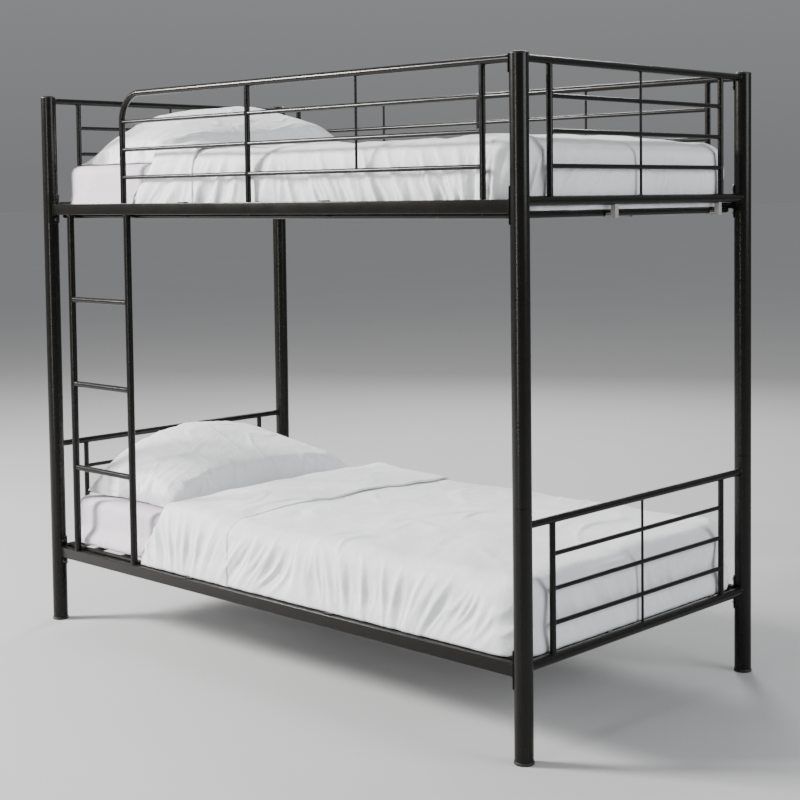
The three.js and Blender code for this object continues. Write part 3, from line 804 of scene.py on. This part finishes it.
def thickened(obj, thickness, offset=-1.0):
    shell = obj.modifiers.new("shell", "SOLIDIFY")
    shell.thickness = thickness
    shell.offset = offset
    shell.use_even_offset = False
    bake_modifiers(obj)
    obj.data.shade_smooth()
    return obj


def displaced(obj, height):
    """Moves every point along its normal by height(point, normal)."""
    mesh = obj.data
    steps = [v.normal * height(v.co, v.normal) for v in mesh.vertices]
    for v, step in zip(mesh.vertices, steps):
        v.co += step
    mesh.update()


def smooth_step(value, start, end):
    t = min(max((value - start) / (end - start), 0), 1)
    return t * t * (3 - 2 * t)


def ridged(x, y=0.0, z=0.0):
    """Noise with sharp crests, from 0 to 1."""
    return 1 - abs(noise.noise(Vector((x, y, z)))) * 2


# ---------------------------------------------------------------- mattresses and fitted sheets
def mattress(bunk):
    node = f"{bunk}_mattress"
    a, b = low(node), high(node)
    inset = 9 * MM
    core = slab(a.x + inset, b.x - inset, b.y - inset, a.z, b.z - inset, 51 * MM, 22 * MM)
    obj = finish_mesh(core, f"{node}_core", TICKING, 60)
    piece(obj, "sheet_cotton", node)
    edge = slab(a.x, b.x, b.y, a.z + 0.5 * MM, b.z, 60 * MM, 25 * MM)
    cover = remeshed(edge, f"{bunk}_fitted_sheet", SHEET_COTTON, 9 * MM)
    hollow_below(cover, a.z + 1.5 * MM, 50 * MM, a, b)
    subdivided(cover)
    seed, spread = (3.0, 8 * MM) if bunk == "upper" else (8.0, 26 * MM)

    def gathers(p, normal):
        side = 1 - smooth_step(abs(normal.z), 0.3, 0.9)
        corner_x = smooth_step(abs(p.x - middle(node).x), 0.75, 0.93)
        corner_y = smooth_step(abs(p.y), 0.25, 0.43)
        along = p.x if abs(normal.y) > abs(normal.x) else p.y
        hang = 1 - smooth_step(p.z, a.z + 10 * MM, a.z + 95 * MM)
        pleat = ridged(along * 26 + 2 * noise.noise(p * 6), p.z * 3, seed) - 0.6
        slack = noise.noise(Vector((p.x * 5, p.y * 5, p.z * 9 + seed)))
        amount = side * hang * (0.5 + corner_x * corner_y * 1.2)
        flare = abs(normal.y) * (1 - smooth_step(p.z, a.z + 2 * MM, a.z + 70 * MM)) * spread
        covered = smooth_step(p.x, -0.52, -0.44)
        loose = pleat * 3.4 * MM * amount + slack * 1.6 * MM - 0.6 * MM + side * flare
        return loose * (1 - covered) - 4 * MM * covered

    displaced(cover, gathers)
    thickened(cover, 1.2 * MM)
    piece(cover, "sheet_cotton", node)


def hollow_below(obj, level, lip, a, b):
    """Opens the underside of a cover, leaving a lip all round."""
    bm = bmesh.new()
    bm.from_mesh(obj.data)
    inside = []
    for face in bm.faces:
        c = face.calc_center_median()
        within = a.x + lip < c.x < b.x - lip and abs(c.y) < b.y - lip
        if within and c.z < level + 5 * MM:
            inside.append(face)
    bmesh.ops.delete(bm, geom=inside, context="FACES")
    bm.to_mesh(obj.data)
    bm.free()


# ---------------------------------------------------------------- duvets
DUVETS = {
    "upper": {
        "head": -465 * MM,
        "slant": 120 * MM,
        "flap": -254 * MM,
        "flap_side": 3 * MM,
        "flap_front": (-0.6, -0.5),
        "seed": 11.0,
        "hem": 1 * MM,
        "flare": 0.0,
    },
    "lower": {
        "head": -455 * MM,
        "slant": 85 * MM,
        "flap": -120 * MM,
        "flap_side": 0.5 * MM,
        "flap_front": (-0.45, 0.1),
        "seed": 4.0,
        "hem": 8.5 * MM,
        "flare": 13 * MM,
    },
}


def head_line(spec, p, top):
    """Where the duvet's head edge runs: straight over the top, and slanting to the head down the sides."""
    drop = smooth_step(top - p.z, 20 * MM, 170 * MM)
    wander = 12 * MM * noise.noise(Vector((p.y * 4, spec["seed"], 0)))
    return spec["head"] - spec["slant"] * drop + wander


def duvet(bunk):
    node = f"{bunk}_duvet"
    spec = DUVETS[bunk]
    seed = spec["seed"]
    a, b = low(node), high(node)
    top = BUNK_LEVELS[bunk]["mattress_top"] + 32 * MM
    half_y = b.y - 12 * MM
    hem_z = a.z - spec["hem"]
    foot_x = b.x - 9 * MM
    shell_slab = slab(spec["head"] - 300 * MM, foot_x, half_y, a.z - 60 * MM, top, 78 * MM, 48 * MM)
    obj = remeshed(shell_slab, f"{node}_cover", WHITE_COTTON, 10 * MM)

    bm = bmesh.new()
    bm.from_mesh(obj.data)
    away = []
    for face in bm.faces:
        c = face.calc_center_median()
        if c.z < hem_z or c.x < head_line(spec, c, top):
            away.append(face)
    bmesh.ops.delete(bm, geom=away, context="FACES")
    pinned = []
    bm.verts.ensure_lookup_table()
    for i, v in enumerate(bm.verts):
        if v.is_boundary:
            if v.co.z < hem_z + 16 * MM:
                v.co.z = hem_z + 1 * MM * noise.noise(v.co * 30)
                pinned.append(i)
            else:
                v.co.x = head_line(spec, v.co, top)
                if v.co.z < top - 60 * MM:
                    pinned.append(i)
    bm.to_mesh(obj.data)
    bm.free()

    for v in obj.data.vertices:
        if v.co.z > top - 30 * MM:
            crown = smooth_step(half_y - abs(v.co.y), 0, 0.3) * smooth_step(foot_x - v.co.x, 0, 0.3)
            swell = noise.noise(Vector((v.co.x * 2.6, v.co.y * 2.6, seed)))
            v.co.z += crown * (8 * MM + 9 * MM * swell)
    simulate(obj, 10, 12 * MM, gravity=0.3, shrink=-0.05, bending=0.8, pinned=pinned)
    subdivided(obj)

    knee = foot_x - 78 * MM

    def folds(p, normal):
        """Fan-like folds down the sides, soft creases on top and the cover's pressed lines."""
        side = 1 - smooth_step(abs(normal.z), 0.25, 0.85)
        straight = min(p.x, knee)
        round_the_bed = (straight if p.y < 0 else 2 * knee - straight) + p.y + half_y
        depth = min(max((top - p.z) / (top - hem_z), 0), 1)
        lean = 1.3 * noise.noise(Vector((round_the_bed * 2.3, seed, 1.5)))
        fan = round_the_bed + lean * depth * 0.2
        broad = max(ridged(fan * 12, depth * 0.5, seed), 0) ** 2.2
        fine = max(ridged(fan * 33 + broad * 0.4, depth * 1.1, seed + 5), 0) ** 1.8
        patch = smooth_step(noise.noise(Vector((round_the_bed * 3.2, depth * 0.8, seed + 9))), -0.35, 0.3)
        gather = smooth_step(depth, 0.1, 0.62)
        held = 1 - 0.6 * smooth_step(depth, 0.8, 1.0)
        wall = 15 * MM * (broad - 0.36) * (0.25 + 0.75 * gather) * held
        wall += 10.5 * MM * (fine - 0.3) * gather * (0.3 + 0.7 * patch) * held
        bulge = 7 * MM * math.sin(math.pi * depth) + spec["flare"] * smooth_step(depth, 0.6, 1.0)
        wide = noise.noise(Vector((p.x * 3.6, p.y * 3.6, seed)))
        crease = max(ridged(p.x * 8 + 1.4 * wide, p.y * 4.5, seed + 2) - 0.55, 0)
        small = noise.noise(Vector((p.x * 15, p.y * 11, seed + 6)))
        flat_top = (wide * 11 + crease * 19 * max(wide + 0.4, 0) + small * 3.2) * MM * (1 - side)
        pressed = sum(math.exp(-(((p.x - line) / (4 * MM)) ** 2)) for line in (-0.1, 0.24, 0.58))
        pressed += (1 - side) * sum(math.exp(-(((p.y - line) / (4 * MM)) ** 2)) for line in (-0.2, 0.16))
        return side * (wall + bulge) + flat_top + pressed * 1.3 * MM

    displaced(obj, folds)
    hold_within(obj, b.y + 4 * MM, b.x + 2 * MM, b.z + 18 * MM)
    flap = turned_back(obj, node, spec, top)
    thickened(obj, 9 * MM)
    piece(obj, "white_cotton", node)
    piece(flap, "white_cotton", node)


def soft_limit(value, limit, give=10 * MM):
    start = limit - give
    return value if value < start else start + give * math.tanh((value - start) / give)


def hold_within(obj, y_limit, x_limit, z_limit):
    """Flattens what would reach past the rails, without a hard edge."""
    for v in obj.data.vertices:
        v.co.y = math.copysign(soft_limit(abs(v.co.y), y_limit), v.co.y)
        v.co.x = soft_limit(v.co.x, x_limit)
        v.co.z = soft_limit(v.co.z, z_limit)
    obj.data.update()


def turned_back(duvet_obj, node, spec, top):
    """The head end of the duvet folded back over itself: a second layer that follows the first."""
    seed = spec["seed"]

    def hem(p):
        return spec["flap"] + 14 * MM * noise.noise(Vector((p.y * 3.3, seed, 7))) + 0.02 * p.y

    bm = bmesh.new()
    bm.from_mesh(duvet_obj.data)
    away = [f for f in bm.faces if f.calc_center_median().x > hem(f.calc_center_median())]
    bmesh.ops.delete(bm, geom=away, context="FACES")
    for v in bm.verts:
        if v.is_boundary and v.co.x > spec["flap"] - 60 * MM:
            v.co.x = hem(v.co)
    mesh = bpy.data.meshes.new(f"{node}_turned_back")
    bm.to_mesh(mesh)
    bm.free()
    mesh.materials.append(WHITE_COTTON)
    mesh.shade_smooth()
    obj = bpy.data.objects.new(f"{node}_turned_back", mesh)
    bpy.context.collection.objects.link(obj)

    def lift(p, normal):
        on_top = smooth_step(normal.z, 0.2, 0.9)
        from_fold = smooth_step(p.x - head_line(spec, p, top), 0, 40 * MM)
        rise = spec["flap_side"] + on_top * 9 * MM * from_fold * smooth_step(p.y, *spec["flap_front"])
        puff = smooth_step(hem(p) - p.x, 0, 70 * MM) * on_top * 6 * MM
        ripple = noise.noise(Vector((p.x * 6, p.y * 9, seed + 3))) * 2.2 * MM * on_top
        return rise + puff + ripple

    displaced(obj, lift)
    hold_within(obj, high(node).y + 5 * MM, high(node).x, high(node).z + 34 * MM)
    thickened(obj, 6 * MM)
    return obj


# ---------------------------------------------------------------- pillows
def pillow(bunk):
    node = f"{bunk}_pillow"
    a, b = low(node), high(node)
    centre = middle(node)
    width, length, height = b.y - a.y, 0.47, 0.15
    seed = 21.0 if bunk == "upper" else 34.0
    bm = bmesh.new()
    rows, columns = 26, 40

    def point(u, v, sign):
        pinch = 1 - 0.07 * (1 - abs(u) ** 2.2) * abs(v) ** 4
        pull = 1 - 0.05 * (1 - abs(v) ** 2.2) * abs(u) ** 4
        crown = max((1 - abs(u) ** 2.6) * (1 - abs(v) ** 2.6), 0) ** 0.5
        z = sign * (3 * MM + crown * height * 0.42)
        return Vector((u * length / 2 * pinch * pull, v * width / 2 * pull, z))

    sides = []
    for sign in (1, -1):
        grid = []
        for i in range(rows + 1):
            u = -1 + 2 * i / rows
            grid.append([bm.verts.new(point(u, -1 + 2 * j / columns, sign)) for j in range(columns + 1)])
        for i in range(rows):
            for j in range(columns):
                quad = (grid[i][j], grid[i + 1][j], grid[i + 1][j + 1], grid[i][j + 1])
                bm.faces.new(quad if sign > 0 else tuple(reversed(quad)))
        sides.append(grid)

    def rim(grid):
        edge = [grid[i][0] for i in range(rows + 1)]
        edge += [grid[rows][j] for j in range(1, columns + 1)]
        edge += [grid[i][columns] for i in range(rows - 1, -1, -1)]
        return edge + [grid[0][j] for j in range(columns - 1, 0, -1)]

    bridge(bm, rim(sides[0]), rim(sides[1]))
    obj = remeshed(bm, f"{node}_case", WHITE_COTTON, 7 * MM)
    simulate(obj, 20, 26 * MM, pressure=3.5, shrink=-0.04, bending=0.6)
    subdivided(obj)

    def wrinkles(p, _normal):
        u, v = p.x / (length / 2), p.y / (width / 2)
        rim_share = max(abs(u) ** 3, abs(v) ** 3)
        toward = math.atan2(v, u)
        radial = ridged(toward * 5.5, (abs(u) + abs(v)) * 1.3, seed) ** 2 - 0.45
        broad = noise.noise(Vector((p.x * 7, p.y * 5, seed)))
        slash = max(ridged(p.x * 6 + broad, p.y * 9, seed + 4) - 0.7, 0)
        return radial * 3.2 * MM * rim_share + broad * 4 * MM + slash * 8 * MM

    displaced(obj, wrinkles)
    seat = BUNK_LEVELS[bunk]["mattress_top"] + 4 * MM
    rise, rear_lift, crest = (118 * MM, 112 * MM, 0.2) if bunk == "upper" else (130 * MM, 25 * MM, 0.0)
    for v in obj.data.vertices:
        p = v.co
        across, along = 2 * p.x / length, 2 * p.y / width
        droop = 1 - min((along - crest) ** 2, 1.2)
        rear = rear_lift * max(along, 0) ** 2 * (1 - 0.6 * smooth_step(along, 0.55, 1.0))
        height_here = 12 * MM + rise * droop * (0.45 - 0.55 * across) + rear
        z = seat + p.z + height_here
        if z < seat + 12 * MM:
            z = seat + 12 * MM * math.exp((z - seat - 12 * MM) / (12 * MM))
        x = max(centre.x + p.x * 0.95, a.x - 3 * MM)
        v.co = (x, centre.y - 6 * MM + p.y * 0.97, z)
    obj.data.update()
    piece(obj, "white_cotton", node)


for bunk in BUNKS:
    mattress(bunk)
    duvet(bunk)
    pillow(bunk)


# ---------------------------------------------------------------- floor, light and camera
def floor():
    bpy.ops.mesh.primitive_plane_add(size=400, location=(0, 0, 0))
    plane = bpy.context.object
    plane.name = "floor"
    mat, shader = new_material("floor_paint", (0.78, 0.78, 0.78), 0.75)
    n = Nodes(mat)
    n.feed(shader.inputs["Base Color"], n.mix(n.noise(0.8, 2), (0.5, 0.5, 0.505, 1), (0.54, 0.54, 0.54, 1)))
    plane.data.materials.append(mat)


def area_light(name, place, target, size, power, colour=(1, 1, 1)):
    data = bpy.data.lights.new(name, "AREA")
    data.shape = "RECTANGLE"
    data.size, data.size_y = size
    data.energy = power
    data.color = colour
    light = bpy.data.objects.new(name, data)
    light.location = place
    light.rotation_euler = (Vector(target) - Vector(place)).to_track_quat("-Z", "Y").to_euler()
    bpy.context.collection.objects.link(light)


def camera():
    """Looks at the bed from the foot end's front corner, as solved from the posts, rails and bars."""
    place = Vector((3.2964, -3.3094, 1.3549))
    yaw, pitch, roll = math.radians(43.92), math.radians(3.157), -0.0122
    ahead = Vector((-math.sin(yaw) * math.cos(pitch), math.cos(yaw) * math.cos(pitch), -math.sin(pitch)))
    right = ahead.cross(Z).normalized()
    up = right.cross(ahead)
    right, up = math.cos(roll) * right + math.sin(roll) * up, -math.sin(roll) * right + math.cos(roll) * up
    data = bpy.data.cameras.new("camera")
    data.lens = 69.7
    data.sensor_width = 36
    data.shift_y = -0.145
    data.clip_end = 500
    cam = bpy.data.objects.new("camera", data)
    cam.matrix_world = Matrix((
        (right.x, up.x, -ahead.x, place.x),
        (right.y, up.y, -ahead.y, place.y),
        (right.z, up.z, -ahead.z, place.z),
        (0, 0, 0, 1),
    ))
    bpy.context.collection.objects.link(cam)
    bpy.context.scene.camera = cam


floor()
area_light("key", (-4.2, -3.9, 3.6), (0.1, 0, 0.9), (1.5, 1.5), 1020, (1, 0.985, 0.965))
area_light("strip", (0.8, -5.4, 1.5), (0.6, 0, 0.9), (0.3, 3.2), 85)
area_light("side", (5.6, 1.2, 2.8), (0, 0, 0.9), (3.0, 3.0), 180, (0.94, 0.97, 1))
area_light("back", (-3.0, 4.6, 3.6), (0, 0, 1.0), (1.6, 1.6), 170)
world = bpy.data.worlds.new("studio")
world.use_nodes = True
sky = Nodes(world)
height = sky.add("ShaderNodeSeparateXYZ", Vector=sky.add("ShaderNodeTexCoord").outputs["Generated"])
rising = sky.remap(height.outputs["Z"], 0.02, 0.4, 0.0, 1.0)
backdrop = world.node_tree.nodes["Background"]
sky.feed(backdrop.inputs["Color"], sky.mix(rising, (0.5, 0.505, 0.515, 1), (0.93, 0.94, 0.96, 1)))
backdrop.inputs["Strength"].default_value = 0.4
bpy.context.scene.world = world
camera()
